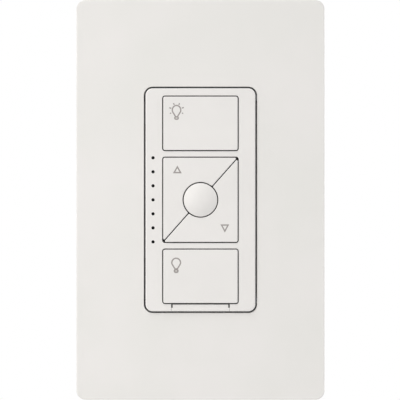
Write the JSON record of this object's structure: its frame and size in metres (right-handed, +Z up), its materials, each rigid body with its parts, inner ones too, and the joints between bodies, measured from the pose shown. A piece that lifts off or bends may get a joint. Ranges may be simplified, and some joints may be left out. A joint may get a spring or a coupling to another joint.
{
  "type": "smart dimmer switch",
  "caption": "Wall-mounted smart dimmer: screwless plate, bezel with status lights, on, off, raise, lower and round keys, pull-out service tab, yoke and rear housing.",
  "frame": {"origin": "centre of the plate's rim, in the plane of the wall surface", "axes": "+Z up the plate, -Y out of the wall towards the user, +X to the right seen from the front"},
  "size_m": [0.074, 0.0401, 0.1192],
  "materials": {
    "plate_white": "semi-gloss moulded",
    "face_white": "satin moulded",
    "smoked_lens": "clear smoked",
    "yoke_metal": "stamped",
    "screw_steel": "zinc plated",
    "fibre": "pressed fibre",
    "housing_black": "fine moulded grain",
    "board_green": "solder mask",
    "component_black": "moulded",
    "plunger_grey": "moulded",
    "led_clear": "clear",
    "contact_brass": "stamped",
    "copper_wire": "enamelled",
    "core_iron": "coated",
    "film_yellow": "moulded box",
    "can_sleeve": "shrunk sleeve",
    "varistor_blue": "dipped",
    "fuse_body": "moulded",
    "pad_silicone": "smooth"
  },
  "bodies": {
    "base": {"wallplate": "plate_white", "wallplate_adapter": "plate_white", "bezel": "face_white", "light_pipe": "smoked_lens", "yoke": "yoke_metal", "mounting_screws": "screw_steel", "adapter_screws": "screw_steel", "housing_screws": "screw_steel", "board_screws": "screw_steel", "triac_screw": "screw_steel", "screw_retainers": "fibre", "rear_housing": "housing_black", "control_board": "board_green", "power_board": "board_green", "key_switches": "component_black", "control_chips": "component_black", "power_triac": "component_black", "board_link": "component_black", "status_leds": "led_clear", "airgap_contacts": "contact_brass", "antenna": "contact_brass", "choke_winding": "copper_wire", "choke_core": "core_iron", "filter_capacitor": "film_yellow", "supply_capacitor": "can_sleeve", "surge_varistor": "varistor_blue", "fuse": "fuse_body", "triac_pad": "pad_silicone"},
    "on": {"on_key": "face_white", "on_plunger": "plunger_grey"},
    "raise": {"raise_key": "face_white", "raise_plunger": "plunger_grey"},
    "favourite": {"favourite_key": "face_white", "favourite_plunger": "plunger_grey"},
    "lower": {"lower_key": "face_white", "lower_plunger": "plunger_grey"},
    "off": {"off_key": "face_white", "off_plunger": "plunger_grey"},
    "tab": {"service_tab": "face_white", "bridge_contact": "contact_brass"}
  },
  "joints": [
    {"name": "on_press", "type": "slide", "parent": "base", "child": "on", "axis": [0, 1, 0], "range_m": [0, 0.0006], "stiffness_N_per_m": 500, "springref_m": -0.002},
    {"name": "raise_press", "type": "slide", "parent": "base", "child": "raise", "axis": [0, 1, 0], "range_m": [0, 0.0006], "stiffness_N_per_m": 500, "springref_m": -0.002},
    {"name": "favourite_press", "type": "slide", "parent": "base", "child": "favourite", "axis": [0, 1, 0], "range_m": [0, 0.0006], "stiffness_N_per_m": 500, "springref_m": -0.002},
    {"name": "lower_press", "type": "slide", "parent": "base", "child": "lower", "axis": [0, 1, 0], "range_m": [0, 0.0006], "stiffness_N_per_m": 500, "springref_m": -0.002},
    {"name": "off_press", "type": "slide", "parent": "base", "child": "off", "axis": [0, 1, 0], "range_m": [0, 0.0006], "stiffness_N_per_m": 500, "springref_m": -0.002},
    {"name": "tab_pull", "type": "slide", "parent": "base", "child": "tab", "axis": [0, -1, 0], "range_m": [0, 0.004]}
  ]
}
